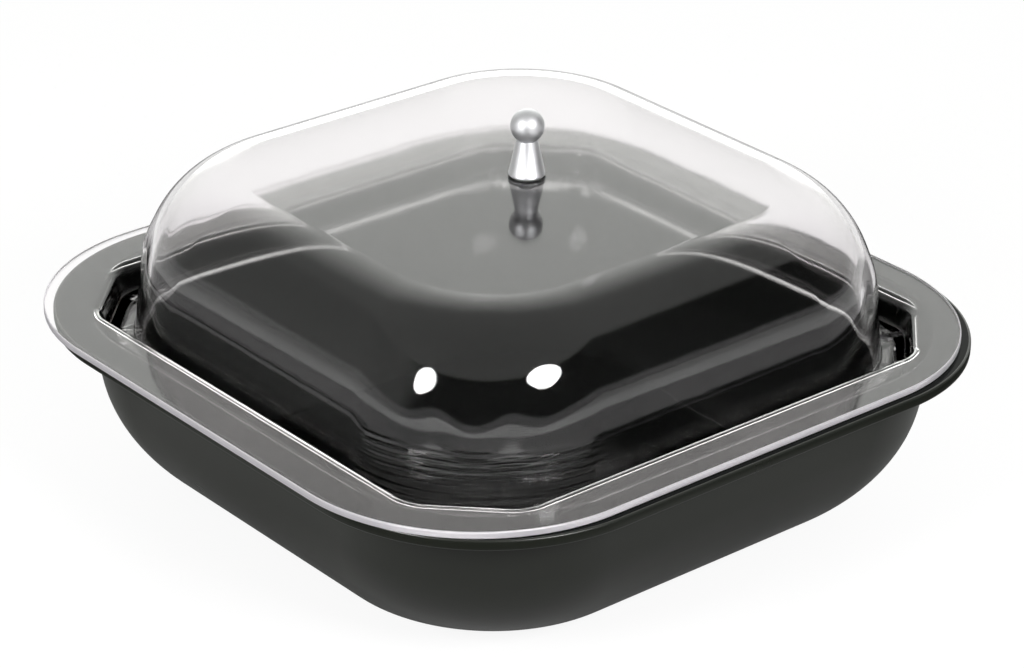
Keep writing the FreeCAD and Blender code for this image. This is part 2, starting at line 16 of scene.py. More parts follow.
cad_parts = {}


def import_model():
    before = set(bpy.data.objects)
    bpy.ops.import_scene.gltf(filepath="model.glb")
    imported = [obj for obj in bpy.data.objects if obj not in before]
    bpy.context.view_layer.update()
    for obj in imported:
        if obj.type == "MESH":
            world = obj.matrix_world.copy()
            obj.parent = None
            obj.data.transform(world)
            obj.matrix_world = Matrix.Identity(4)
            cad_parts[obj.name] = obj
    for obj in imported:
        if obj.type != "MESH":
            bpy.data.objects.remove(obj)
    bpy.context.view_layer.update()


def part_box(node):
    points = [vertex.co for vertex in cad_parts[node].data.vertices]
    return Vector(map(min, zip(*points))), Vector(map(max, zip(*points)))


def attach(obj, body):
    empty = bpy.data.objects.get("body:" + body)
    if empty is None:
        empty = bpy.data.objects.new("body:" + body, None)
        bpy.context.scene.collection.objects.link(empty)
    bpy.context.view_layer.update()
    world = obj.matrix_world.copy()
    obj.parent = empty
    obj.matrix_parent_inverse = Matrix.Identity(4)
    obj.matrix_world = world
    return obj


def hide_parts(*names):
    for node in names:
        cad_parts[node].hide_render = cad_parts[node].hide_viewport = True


MM = 0.001
FULL_TURN = 2 * math.pi
QUARTER_TURN = math.pi / 2
# the camera sensor's width, in millimetres
SENSOR_WIDTH = 36.0
# a flat keeps its own shading this far from where a rounding starts
FLAT_KEEP = 0.25 * MM
# points nearer than this are one point, and heights nearer than this are one height
WELD = 1e-6
SAME_LEVEL = 1e-7
# between these values lies nearly all of a noise
NOISE_RANGE = (0.3, 0.7)

Edges = list[bmesh.types.BMEdge]
Socket = bpy.types.NodeSocket
Input = bpy.types.NodeSocket | float | tuple

log = logging.getLogger("covered_tray")


class Body(Enum):
    """The bodies of the frame."""

    TRAY = "tray"
    COVER = "cover"


class Slot(Enum):
    """Names of material slots. The rings below list one each, but no piece is given it."""

    TRAY_PLASTIC = "tray_plastic"
    CLEAR_COVER = "clear_cover"
    CLEAR_SEAL = "clear_seal"
    KNOB_METAL = "knob_metal"
    SOFT_SEAL = "soft_seal"
    SCREW_STEEL = "screw_steel"


# ---------------- colour and nodes


def linear(hex_colour: str) -> tuple[float, float, float, float]:
    """Turns a colour into the renderer's linear light.

    Args:
        hex_colour: An sRGB colour such as "#8c8d90".

    Returns:
        Linear red, green and blue, with an alpha of 1.
    """
    channels = [int(hex_colour[place:place + 2], 16) / 255 for place in (1, 3, 5)]
    red, green, blue = [
        value / 12.92 if value <= 0.04045 else ((value + 0.055) / 1.055) ** 2.4
        for value in channels
    ]
    return red, green, blue, 1.0


class Nodes:
    """The node tree of one material or of the world."""

    def __init__(self, owner: bpy.types.ID) -> None:
        """Empties the owner's tree.

        Args:
            owner: A material or a world.
        """
        owner.use_nodes = True
        self.tree = owner.node_tree
        self.tree.nodes.clear()

    def add(self, kind: str, settings: dict | None = None, **inputs: Input) -> bpy.types.Node:
        """Adds a node with its settings, values and links.

        Args:
            kind: The node's type, without "ShaderNode".
            settings: The node's own properties.
            **inputs: Values or output sockets, by the input's name with _ for a space, or by
                its number after the word "input".

        Returns:
            The new node.
        """
        node = self.tree.nodes.new(f"ShaderNode{kind}")
        for name, value in (settings or {}).items():
            setattr(node, name, value)
        for name, value in inputs.items():
            key = int(name[5:]) if name.startswith("input") else name.replace("_", " ")
            socket = node.inputs[key]
            if isinstance(value, bpy.types.NodeSocket):
                self.tree.links.new(value, socket)
            else:
                socket.default_value = value
        return node

    def combine(self, operation: str, first: Socket, second: Socket | float) -> Socket:
        """Joins two values by an operation. Returns the result."""
        return self.add("Math", {"operation": operation}, input0=first, input1=second).outputs[0]

    def step(self, value: Socket, low: float, high: float, top: float = 1.0) -> Socket:
        """Turns a value into a soft step.

        Args:
            value: The value.
            low: Where the step starts, at 0.
            high: Where it reaches its top.
            top: How high it is there.

        Returns:
            The step.
        """
        return self.add("MapRange", {"interpolation_type": "SMOOTHSTEP"}, Value=value,
                        From_Min=low, From_Max=high, To_Max=top).outputs[0]

    def blend(self, share: Socket, first: Socket | str, second: str) -> Socket:
        """Mixes two colours.

        Args:
            share: The second colour's share.
            first: A colour, or a socket that gives one.
            second: A colour.

        Returns:
            The mixed colour.
        """
        start = linear(first) if isinstance(first, str) else first
        return self.add("Mix", {"data_type": "RGBA"}, Factor=share, input6=start,
                        input7=linear(second)).outputs[2]


class SurfaceNodes(Nodes):
    """The node tree of a material whose pattern is fixed to the object."""

    def __init__(self, name: str) -> None:
        """Starts a material.

        Args:
            name: The material's name.
        """
        self.material = bpy.data.materials.new(name)
        super().__init__(self.material)
        self.place = self.add("TexCoord").outputs["Object"]

    def noise(self, size: float, detail: float, roughness: float = 0.5,
              place: Socket | None = None) -> Socket:
        """Adds a cloudy pattern.

        Args:
            size: The size of its clouds.
            detail: How many finer layers it has.
            roughness: How strong each finer layer is.
            place: Where it is read, if not simply at the place on the object.

        Returns:
            The pattern, from 0 to 1.
        """
        return self.add("TexNoise", {"noise_dimensions": "3D"}, Vector=place or self.place,
                        Scale=1 / size, Detail=detail, Roughness=roughness).outputs["Fac"]

    def around(self, pattern: Socket, middle: float, spread: float) -> Socket:
        """Turns a pattern into a value that strays about a middle one. Returns the value."""
        return self.add("MapRange", Value=pattern, From_Min=NOISE_RANGE[0],
                        From_Max=NOISE_RANGE[1], To_Min=middle - spread,
                        To_Max=middle + spread).outputs["Result"]

    def bump(self, pattern: Socket, depth: float, strength: float = 1.0,
             **inputs: Input) -> Socket:
        """Raises the surface by a pattern.

        Args:
            pattern: The pattern.
            depth: How high its full value stands.
            strength: How much of that shows.
            **inputs: A bumped normal to start from, if there is one.

        Returns:
            The new normal.
        """
        return self.add("Bump", Strength=strength, Distance=depth, Height=pattern,
                        **inputs).outputs["Normal"]

    def close(self, **inputs: Input) -> bpy.types.Material:
        """Adds the shader with its inputs. Returns the material."""
        self.add("OutputMaterial", Surface=self.add("BsdfPrincipled", **inputs).outputs["BSDF"])
        return self.material


# ---------------- finishes


@dataclass(frozen=True)
class ClearAcrylic:
    """Extruded acrylic sheet, drawn down into a mould while warm.

    The eye sees two polished faces, so each reflection is doubled, a faint cool grey where a ray
    crosses more of the sheet, and slow waves where the sheet was stretched.
    """

    name: str = "thermoformed_clear_acrylic"
    colour: str = "#fbf9fa"
    ior: float = 1.49
    roughness: float = 0.045
    wave_length: float = 34 * MM
    wave_bump: float = 0.10 * MM
    # ripples stand low in one corner, where the sheet chilled against the mould; the corner is
    # told by how far it lies along X and against Y, taken together
    ripple_pitch: float = 3.2 * MM
    ripple_bump: float = 0.09 * MM
    ripple_stray: float = 2.5
    stray_scale: float = 0.35
    ripple_top: float = 96 * MM
    ripple_fade: float = 8 * MM
    corner_from: float = 186 * MM
    corner_fade: float = 16 * MM

    def make(self) -> bpy.types.Material:
        """Builds the material.

        Returns:
            The material.
        """
        nodes = SurfaceNodes(self.name)
        slow = nodes.bump(nodes.noise(self.wave_length, 1.0, 0.4), self.wave_bump)
        # the band texture repeats every tenth of pi at a scale of 1
        ripples = nodes.add("TexWave", {"wave_type": "BANDS", "bands_direction": "Z"},
                            Vector=nodes.place, Distortion=self.ripple_stray, Detail=1.0,
                            Scale=math.pi / 10 / self.ripple_pitch,
                            Detail_Scale=self.stray_scale)
        parts = nodes.add("SeparateXYZ", Vector=nodes.place)
        outwards = nodes.combine("SUBTRACT", parts.outputs["X"], parts.outputs["Y"])
        corner = nodes.step(outwards, self.corner_from, self.corner_from + self.corner_fade)
        low = nodes.step(parts.outputs["Z"], self.ripple_top, self.ripple_top - self.ripple_fade)
        share = nodes.combine("MULTIPLY", corner, low)
        height = nodes.combine("MULTIPLY", share, ripples.outputs["Fac"])
        return nodes.close(Base_Color=linear(self.colour), Roughness=self.roughness,
                           IOR=self.ior, Transmission_Weight=1.0,
                           Normal=nodes.bump(height, self.ripple_bump, Normal=slow))


@dataclass(frozen=True)
class ScrapedAcrylicEdge:
    """The trimmed edge of an acrylic sheet, sawn and then scraped.

    The eye sees a bright, faintly lilac band with fine marks along it.
    """

    name: str = "scraped_acrylic_edge"
    colour: str = "#f2eef4"
    ior: float = 1.49
    roughness: float = 0.42
    transmission: float = 0.55
    mark_length: float = 2.5 * MM
    mark_bump: float = 0.05 * MM
    mark_strength: float = 0.6

    def make(self) -> bpy.types.Material:
        """Builds the material.

        Returns:
            The material.
        """
        nodes = SurfaceNodes(self.name)
        marks = nodes.noise(self.mark_length, 3.0, 0.6)
        return nodes.close(Base_Color=linear(self.colour), Roughness=self.roughness,
                           IOR=self.ior, Transmission_Weight=self.transmission,
                           Normal=nodes.bump(marks, self.mark_bump, self.mark_strength))


@dataclass(frozen=True)
class MouldedPlastic:
    """Black ABS, moulded against a steel tool.

    The eye sees a near black with a green cast, a soft sheen from the tool's fine grain, and
    slight cloudiness in that sheen.
    """

    name: str
    colour: str
    cloudy_colour: str
    roughness: float
    roughness_spread: float
    grain_pitch: float
    grain_bump: float
    specular: float = 0.5
    ior: float = 1.53
    cloud_size: float = 60 * MM

    def make(self) -> bpy.types.Material:
        """Builds the material.

        Returns:
            The material.
        """
        nodes = SurfaceNodes(self.name)
        clouds = nodes.noise(self.cloud_size, 3.0, 0.55)
        grain = nodes.noise(self.grain_pitch, 2.0)
        return nodes.close(Base_Color=nodes.blend(clouds, self.colour, self.cloudy_colour),
                           Roughness=nodes.around(clouds, self.roughness, self.roughness_spread),
                           IOR=self.ior, Specular_IOR_Level=self.specular,
                           Normal=nodes.bump(grain, self.grain_bump))


# the outside follows a finely blasted tool, the inside a smoother one; the inside is also a darker
# copy of the same plastic that mirrors little, painted shade for the inside of the covered tray
TRAY_OUTSIDE = MouldedPlastic("black_abs_blasted_tool", "#181a15", "#1c1e19", roughness=0.30,
                              roughness_spread=0.03, grain_pitch=0.9 * MM, grain_bump=0.015 * MM)
TRAY_INSIDE = MouldedPlastic("black_abs_smooth_tool_painted_shade", "#0a0c0b", "#0f1210", roughness=0.09,
                             roughness_spread=0.02, grain_pitch=14 * MM, grain_bump=0.02 * MM,
                             specular=0.045)


@dataclass(frozen=True)
class TurnedMetal:
    """A metal turned on a lathe, seen about the knob's own axis.

    The eye sees fine rings round the axis, which draw each highlight out along it. Real rings are
    a few hundredths of a millimetre apart, and are drawn coarser so that they show.
    """

    name: str
    colour: str
    worn_colour: str
    roughness: float
    ring_pitch: float
    ring_bump: float
    axis: Vector
    roughness_spread: float = 0.05
    wear_size: float = 5 * MM
    # across the axis the pattern is drawn out, so that it makes rings
    squeeze: float = 0.02

    def make(self) -> bpy.types.Material:
        """Builds the material.

        Returns:
            The material.
        """
        nodes = SurfaceNodes(self.name)
        settings = {"vector_type": "POINT"}
        centred = nodes.add("Mapping", settings, Vector=nodes.place,
                            Location=(-self.axis.x, -self.axis.y, 0.0))
        squeezed = nodes.add("Mapping", settings, Vector=centred.outputs["Vector"],
                             Scale=(self.squeeze, self.squeeze, 1.0))
        rings = nodes.noise(self.ring_pitch, 2.0, 0.7, squeezed.outputs["Vector"])
        wear = nodes.noise(self.wear_size, 2.0)
        return nodes.close(Base_Color=nodes.blend(wear, self.colour, self.worn_colour),
                           Metallic=1.0,
                           Roughness=nodes.around(rings, self.roughness, self.roughness_spread),
                           Normal=nodes.bump(rings, self.ring_bump))


@dataclass(frozen=True)
class SealRubber:
    """A moulded seal, of clear silicone or black EPDM.

    The eye sees a soft, slightly uneven face, milky where the silicone is clear.
    """

    name: str
    colour: str
    dusty_colour: str
    roughness: float
    ior: float
    transmission: float
    dust_size: float = 1.5 * MM
    dust_bump: float = 0.03 * MM
    dust_strength: float = 0.6

    def make(self) -> bpy.types.Material:
        """Builds the material.

        Returns:
            The material.
        """
        nodes = SurfaceNodes(self.name)
        dust = nodes.noise(self.dust_size, 3.0, 0.6)
        return nodes.close(Base_Color=nodes.blend(dust, self.colour, self.dusty_colour),
                           Roughness=self.roughness, IOR=self.ior,
                           Transmission_Weight=self.transmission,
                           Normal=nodes.bump(dust, self.dust_bump, self.dust_strength))


CLEAR_SILICONE = SealRubber("clear_silicone", "#dfe3df", "#cfd4d0", roughness=0.25, ior=1.41,
                            transmission=0.8)
BLACK_EPDM = SealRubber("black_epdm", "#1c1c1c", "#2a2a29", roughness=0.6, ior=1.5,
                        transmission=0.0)


# ---------------- square shells


@dataclass(frozen=True)
class Outline:
    """A square in plan, about its own middle, with round or cut corners.

    Attributes:
        half: Half the side.
        corner: Radius of each bend.
        cut: Leg of the cut across each corner, or 0 where the corners are only round.
    """

    half: float
    corner: float
    cut: float = 0.0

    @property
    def bends(self) -> int:
        """How many bends the outline has."""
        return 8 if self.cut else 4

    @property
    def tangent(self) -> float:
        """Where each bend starts, measured along the side from its sharp corner."""
        return self.corner * math.tan(QUARTER_TURN * 2 / self.bends)

    def grown(self, move: float) -> "Outline":
        """Returns the outline moved outwards all round, with even walls at the cuts."""
        cut = self.cut + (2 - math.sqrt(2)) * move if self.cut else 0.0
        return Outline(self.half + move, self.corner + move, cut)

    def centre(self, bend: int) -> Vector:
        """Works out the centre of a bend's arc.

        Args:
            bend: The bend's number, counted anticlockwise from +X.

        Returns:
            The centre.
        """
        far = self.half - self.corner
        if not self.cut:
            return Matrix.Rotation(bend * QUARTER_TURN, 3, "Z") @ Vector((far, far, 0))
        near = self.half - self.cut - self.tangent
        place = Vector((near, far, 0)) if bend % 2 else Vector((far, near, 0))
        return Matrix.Rotation(bend // 2 * QUARTER_TURN, 3, "Z") @ place

    def rounded(self, level: float, radius: float, steps: int, out: int, up: int,
                turn: float = QUARTER_TURN, keep: float = FLAT_KEEP) -> "list[Ring]":
        """Lists the rings of a round edge between a flat and the wall that has this outline.

        Args:
            level: The flat's height.
            radius: The edge's radius.
            steps: Faces round the edge.
            out: 1 where the flat lies outside the wall, or -1.
            up: 1 where the wall goes up from the flat, or -1.
            turn: Angle between the flat and the wall.
            keep: How much of the flat has a ring of its own.

        Returns:
            The flat's own ring, then those of the edge.
        """
        reach = radius * math.tan(turn / 2)
        rings = [(self.grown(out * (reach + keep)), level)]
        for step in range(steps + 1):
            angle = turn * step / steps
            outline = self.grown(out * (reach - radius * math.sin(angle)))
            rings.append((outline, level + up * radius * (1 - math.cos(angle))))
        return rings


# an outline and its height
Ring = tuple[Outline, float]


class Shell:
    """A closed wall that is grown ring by ring from square outlines."""

    def __init__(self, segments: int) -> None:
        """Starts an empty mesh.

        Args:
            segments: Faces round a quarter turn.
        """
        self.mesh = bmesh.new()
        self.segments = segments
        self.ring: Edges = []
        self.outline = Outline(0, 0)
        self.centre = Vector((0, 0, 0))
        self.level = 0.0
        self.finish = 0

    def start(self, outline: Outline, level: float, centre: Vector,
              closed: bool = False) -> Edges:
        """Draws a first ring.

        Args:
            outline: The ring's outline.
            level: Its height.
            centre: Its middle, in plan.
            closed: Whether the face inside it stays.

        Returns:
            The ring's edges.
        """
        self.outline = outline
        self.level = level
        self.centre = Vector((centre.x, centre.y, 0))
        place = Matrix.Translation(self.centre + Vector((0, 0, level)))
        square = bmesh.ops.create_grid(self.mesh, x_segments=1, y_segments=1,
                                       size=outline.half, matrix=place)
        corners = square["verts"]
        if outline.cut:
            self.bevel(corners, outline.cut, 1)
            corners = list(self.newest_face().verts)
        self.bevel(corners, outline.tangent, self.segments * 4 // outline.bends)
        face = self.newest_face()
        face.material_index = self.finish
        self.ring = list(face.edges)
        if not closed:
            bmesh.ops.delete(self.mesh, geom=[face], context="FACES_ONLY")
        return self.ring

    def bevel(self, corners: list[bmesh.types.BMVert], offset: float, segments: int) -> None:
        """Rounds or cuts the corners of the first ring."""
        bmesh.ops.bevel(self.mesh, geom=corners, offset=offset, segments=segments, profile=0.5,
                        affect="VERTICES", material=-1, clamp_overlap=False)

    def newest_face(self) -> bmesh.types.BMFace:
        """Returns the first ring's face, the only one at its height with many sides."""
        faces = [face for face in self.mesh.faces
                 if abs(face.calc_center_median().z - self.level) < SAME_LEVEL]
        return max(faces, key=lambda face: len(face.verts))

    def grow(self, outline: Outline, level: float) -> Edges:
        """Draws the open ring out to a new outline and height.

        Args:
            outline: The new outline, with as many bends as the last one.
            level: The new height.

        Returns:
            The new ring's edges.
        """
        drawn = bmesh.ops.extrude_edge_only(self.mesh, edges=self.ring)["geom"]
        verts = [part for part in drawn if isinstance(part, bmesh.types.BMVert)]
        fresh = set(verts)
        self.ring = [part for part in drawn if isinstance(part, bmesh.types.BMEdge)
                     and part.verts[0] in fresh and part.verts[1] in fresh]
        sector = FULL_TURN / outline.bends
        bends: list[list[bmesh.types.BMVert]] = [[] for _ in range(outline.bends)]
        for vert in verts:
            away = vert.co - self.centre
            bends[int(math.atan2(away.y, away.x) % FULL_TURN // sector)].append(vert)
        rise = Vector((0, 0, level - self.level))
        spread = outline.corner / self.outline.corner
        for bend, group in enumerate(bends):
            was = self.centre + self.outline.centre(bend)
            bmesh.ops.scale(self.mesh, vec=(spread, spread, 1), space=Matrix.Translation(-was),
                            verts=group)
            shift = self.centre + outline.centre(bend) - was + rise
            bmesh.ops.translate(self.mesh, vec=shift, verts=group)
        for edge in self.ring:
            for face in edge.link_faces:
                face.material_index = self.finish
        self.outline = outline
        self.level = level
        return self.ring

    def draw(self, rings: list[Ring]) -> Edges:
        """Draws the open ring out through a row of rings.

        Args:
            rings: Outlines and heights, in order.

        Returns:
            The last ring's edges.
        """
        for outline, level in rings:
            self.grow(outline, level)
        return self.ring

    def lay(self, rings: list[Ring], centre: Vector) -> tuple[Edges, Edges]:
        """Draws a wall that starts with a ring of its own.

        Args:
            rings: Outlines and heights, in order.
            centre: Their middle, in plan.

        Returns:
            The edges of the first ring and of the last.
        """
        first = self.start(*rings[0], centre)
        return first, self.draw(rings[1:])

    def fill(self, *rings: Edges) -> None:
        """Closes a flat between rings, or inside one.

        Args:
            *rings: One ring or two, at the same height.
        """
        edges = [edge for ring in rings for edge in ring]
        made = bmesh.ops.triangle_fill(self.mesh, use_beauty=True, edges=edges)["geom"]
        for part in made:
            if isinstance(part, bmesh.types.BMFace):
                part.material_index = self.finish

    def bore(self, centre: Vector, radius: float, top: float, bottom: float,
             sides: int) -> tuple[Edges, Edges]:
        """Draws the wall of an upright hole.

        Args:
            centre: The hole's axis.
            radius: Its radius.
            top: Height of its upper end.
            bottom: Height of its lower end.
            sides: Faces round it.

        Returns:
            The edges of its upper ring and of its lower ring.
        """
        flat = Outline(radius + FLAT_KEEP, radius + FLAT_KEEP)
        wall = Outline(radius, radius)
        place = Matrix.Translation(Vector((centre.x, centre.y, top)))
        circle = bmesh.ops.create_circle(self.mesh, cap_ends=False, radius=flat.half,
                                         segments=sides, matrix=place)
        upper = list({edge for vert in circle["verts"] for edge in vert.link_edges})
        self.ring, self.outline, self.level, self.centre = upper, flat, top, centre
        return upper, self.draw([(wall, top), (wall, bottom), (flat, bottom)])


@dataclass(frozen=True)
class WallForm:
    """A wall and the large round that follows it, up or down.

    In section the round is the last part of a quarter ellipse, which the wall meets at a tangent.

    Attributes:
        foot: Outline of the wall's open end.
        foot_level: Height of that end.
        round_level: Height at which the round starts.
        flat_level: Height of the flat at the round's end.
        reach: How far the round reaches in.
        end_corner: Corner radius of the flat.
        start_angle: Degrees along the ellipse at which the round starts.
    """

    foot: Outline
    foot_level: float
    round_level: float
    flat_level: float
    reach: float
    end_corner: float
    start_angle: float

    def inside(self, thick: float) -> "WallForm":
        """Returns the form of the wall's other face, a thickness further in."""
        up = math.copysign(thick, self.flat_level - self.round_level)
        return WallForm(self.foot.grown(-thick), self.foot_level, self.round_level,
                        self.flat_level - up, self.reach - thick, self.end_corner,
                        self.start_angle)

    def sections(self, wall_steps: int, round_steps: int) -> list[Ring]:
        """Lists the rings after the foot's own.

        Args:
            wall_steps: Rings up the wall.
            round_steps: Rings round the round.

        Returns:
            Outlines and heights, from the foot to the flat.
        """
        start = math.radians(self.start_angle)
        rise = self.flat_level - self.round_level
        across = self.reach / math.cos(start)
        upright = rise / (1 - math.sin(start))
        wall = self.round_level - self.foot_level
        lean = abs(across / upright * math.tan(start) * wall)
        rings = []
        for step in range(1, wall_steps + 1):
            part = step / wall_steps
            outline = Outline(self.foot.half - lean * part, self.foot.corner)
            rings.append((outline, self.foot_level + wall * part))
        corner_change = self.end_corner - self.foot.corner
        for step in range(1, round_steps + 1):
            angle = start + (QUARTER_TURN - start) * step / round_steps
            gone = math.cos(start) - math.cos(angle)
            outline = Outline(self.foot.half - lean - across * gone,
                              self.foot.corner + corner_change * gone / math.cos(start))
            height = upright * (math.sin(angle) - math.sin(start))
            rings.append((outline, self.round_level + height))
        return rings

    def wall_at(self, level: float) -> Outline:
        """Works out the straight wall's outline.

        Args:
            level: A height on the wall.

        Returns:
            The outline there.
        """
        narrow = self.sections(1, 1)[0][0]
        part = (level - self.foot_level) / (self.round_level - self.foot_level)
        return Outline(self.foot.half + (narrow.half - self.foot.half) * part, self.foot.corner)


def finish_mesh(mesh: bmesh.types.BMesh, name: str,
                materials: list[bpy.types.Material]) -> bpy.types.Object:
    """Turns a closed bmesh into a smooth object at the origin.

    Args:
        mesh: The bmesh, which is used up.
        name: The piece's name.
        materials: Its materials, in the order of its face indices.

    Returns:
        The object, in the scene.
    """
    bmesh.ops.remove_doubles(mesh, verts=mesh.verts, dist=WELD)
    bmesh.ops.recalc_face_normals(mesh, faces=mesh.faces)
    open_edges = sum(1 for edge in mesh.edges if len(edge.link_faces) != 2)
    if open_edges:
        log.warning("%s has %d open edges", name, open_edges)
    for face in mesh.faces:
        face.smooth = True
    data = bpy.data.meshes.new(name)
    mesh.to_mesh(data)
    mesh.free()
    piece = bpy.data.objects.new(name, data)
    for material in materials:
        data.materials.append(material)
    bpy.context.scene.collection.objects.link(piece)
    return piece


def settle_piece(piece: bpy.types.Object, body: Body, node: str) -> None:
    """Hands a piece to the frame, and reports it.

    Args:
        piece: The finished piece.
        body: The body it rides on.
        node: The frame's node it stands for.
    """
    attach(piece, body.value)
    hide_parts(node)
    log.info("%s: %d faces, for node %s on %s", piece.name, len(piece.data.polygons), node,
             body.value)


# ---------------- tray


@dataclass
class Tray:
    """The tray: a flat rim round a deep body with one wall thickness."""

    rim_half: float
    height: float
    rim_corner: float = 82.0 * MM
    rim_thick: float = 4.5 * MM
    rim_edge: float = 0.8 * MM
    rim_width: float = 11.9 * MM
    corner_step: float = 8.4 * MM
    round_start: float = 49.7 * MM
    round_from: float = 9.0
    base_reach: float = 54.3 * MM
    base_corner: float = 50.3 * MM
    wall: float = 3.0 * MM
    mouth_edge: float = 2.0 * MM
    rim_root: float = 3.0 * MM
    segments: int = 30
    wall_steps: int = 16
    round_steps: int = 40
    soft_steps: int = 6
    edge_steps: int = 5

    def form(self) -> WallForm:
        """Returns the outside of the body, from the rim's top down."""
        mouth = Outline(self.rim_half - self.rim_width, self.rim_corner - self.corner_step)
        return WallForm(mouth, self.height, self.round_start, 0.0, self.base_reach,
                        self.base_corner, self.round_from)

    def build(self) -> bpy.types.Object:
        """Makes the tray as one closed wall.

        Returns:
            The piece.
        """
        outside = self.form()
        inside = outside.inside(self.wall)
        rim = Outline(self.rim_half, self.rim_corner)
        under = self.height - self.rim_thick
        body = outside.sections(self.wall_steps, self.round_steps)[::-1]
        # from the base up to the rim's root, and round the rim's edge
        shell = Shell(self.segments)
        shell.start(body[0][0].grown(-FLAT_KEEP), 0.0, Vector((0, 0, 0)), closed=True)
        shell.draw([ring for ring in body if ring[1] < under - self.rim_root])
        neck = outside.wall_at(under)
        shell.draw(neck.rounded(under, self.rim_root, self.soft_steps, 1, -1)[::-1])
        shell.draw(rim.rounded(under, self.rim_edge, self.edge_steps, -1, 1))
        shell.draw(rim.rounded(self.height, self.rim_edge, self.edge_steps, -1, -1)[::-1])
        # the mouth's edge and the inside, in the darker copy of the plastic that paints their shade
        shell.finish = 1
        shell.draw(inside.foot.rounded(self.height, self.mouth_edge, self.soft_steps, 1, -1))
        edge_foot = self.height - 1.5 * self.mouth_edge
        shell.draw([ring for ring in inside.sections(self.wall_steps, self.round_steps)
                    if ring[1] < edge_foot])
        shell.fill(shell.grow(shell.outline.grown(-FLAT_KEEP), shell.level))
        return finish_mesh(shell.mesh, "moulded_tray", [TRAY_OUTSIDE.make(), TRAY_INSIDE.make()])


# ---------------- cover


@dataclass
class DomeCover:
    """The cover: one clear sheet, as flange, skirt, groove with four corner pockets, and dome."""

    flange_centre: Vector
    underside: float
    top: float
    tray: Tray
    knob_axis: Vector
    sheet: float = 3.0 * MM
    trim_shift: tuple[float, float] = (-2.7 * MM, -1.3 * MM)
    trim_edge: float = 0.6 * MM
    skirt_gap: float = 7.6 * MM
    skirt_play: float = 2.1 * MM
    skirt_bend: float = 18.0 * MM
    groove_depth: float = 12.1 * MM
    groove_lean: float = 2.6 * MM
    roll_radius: float = 4.5 * MM
    foot_round: float = 2.0 * MM
    floor_round: float = 0.5 * MM
    channel: float = 0.4 * MM
    dome_step: float = 1.7 * MM
    shoulder_start: float = 16.7 * MM
    shoulder_from: float = 7.3
    shoulder_reach: float = 36.1 * MM
    top_corner: float = 46.3 * MM
    hole_radius: float = 2.25 * MM
    wave_height: float = 0.9 * MM
    wave_length: float = 31.0 * MM
    wave_reach: float = 50.0 * MM
    wave_levels: tuple[float, float, float] = (84.0 * MM, 101.0 * MM, 118.0 * MM)
    segments: int = 32
    edge_steps: int = 4
    roll_steps: int = 7
    skirt_steps: int = 5
    dome_steps: tuple[int, int] = (8, 36)
    hole_sides: int = 24

    @property
    def axis(self) -> Vector:
        """The dome's axis, in plan."""
        return self.flange_centre - Vector((*self.trim_shift, 0))

    @property
    def flange_top(self) -> float:
        """Height of the flange's upper face."""
        return self.underside + self.sheet

    def skirt(self, drop: float, inwards: float) -> Outline:
        """Works out the skirt's outline.

        Args:
            drop: How far below the flange's underside.
            inwards: How far in from the skirt's outside.

        Returns:
            The outline, whose cuts leave the play to the mouth's corners.
        """
        mouth = self.tray.form().inside(self.tray.wall).foot
        across = mouth.corner - self.skirt_gap - self.skirt_bend
        away = mouth.corner - self.skirt_play - self.skirt_bend
        along = math.sqrt(away ** 2 - across ** 2)
        cut = across + self.skirt_bend * (1 - math.tan(QUARTER_TURN / 4)) - along
        move = inwards + self.groove_lean * drop / self.groove_depth
        outline = Outline(mouth.half - self.skirt_gap, self.skirt_bend, cut).grown(-move)
        return Outline(outline.half, self.skirt_bend - inwards, outline.cut)

    def dome(self) -> WallForm:
        """Works out the dome's form.

        Returns:
            Its outside, from the skirt's foot up.
        """
        mouth = self.tray.form().inside(self.tray.wall).foot
        foot = Outline(self.skirt(self.groove_depth, self.sheet).half - self.channel,
                       mouth.corner - self.dome_step)
        return WallForm(foot, self.underside - self.groove_depth,
                        self.flange_top + self.shoulder_start, self.top, self.shoulder_reach,
                        self.top_corner, self.shoulder_from)

    def edge_strip(self, shell: Shell) -> tuple[Edges, Edges]:
        """Draws the flange's trimmed edge.

        Args:
            shell: The cover's shell.

        Returns:
            The edge strip's upper ring and lower ring.
        """
        rim = Outline(self.tray.rim_half, self.tray.rim_corner)
        over = rim.rounded(self.flange_top, self.trim_edge, self.edge_steps, -1, -1)
        under = rim.rounded(self.underside, self.trim_edge, self.edge_steps, -1, 1)[::-1]
        upper, _ = shell.lay(over[:2], self.flange_centre)
        shell.finish = 1
        shell.draw(over[2:] + under[:-1])
        shell.finish = 0
        return upper, shell.draw(under[-1:])

    def skirt_face(self, shell: Shell, radius: float, level: float, inwards: float,
                   foot_level: float, foot_round: float, turns_in: bool) -> tuple[Edges, Edges]:
        """Draws one face of the skirt, with the roll above it and the rounding at its foot.

        Args:
            shell: The cover's shell.
            radius: The roll's radius on this face.
            level: Height of the flange's face.
            inwards: How far this face lies in from the skirt's outside.
            foot_level: Height of the flat at its foot.
            foot_round: Radius of the rounding at its foot.
            turns_in: Whether the face meets its foot's flat at an inside corner.

        Returns:
            The upper ring and the lower ring.
        """
        lean = math.atan(self.groove_lean / self.groove_depth)
        turn = QUARTER_TURN - lean
        foot_turn = turn if turns_in else QUARTER_TURN + lean
        sharp = self.skirt(self.underside - level, inwards)
        rings = sharp.rounded(level, radius, self.roll_steps, 1, -1, turn)
        wall_top = rings[-1][1]
        wall_foot = foot_level + foot_round * math.tan(foot_turn / 2) * math.cos(lean)
        for step in range(1, self.skirt_steps + 1):
            height = wall_top + (wall_foot - wall_top) * step / self.skirt_steps
            rings.append((self.skirt(self.underside - height, inwards), height))
        foot = self.skirt(self.underside - foot_level, inwards)
        # the rounding's first ring is the wall's last
        rings += foot.rounded(foot_level, foot_round, self.skirt_steps, 1 if turns_in else -1, 1,
                              foot_turn)[-2::-1]
        return shell.lay(rings, self.axis)

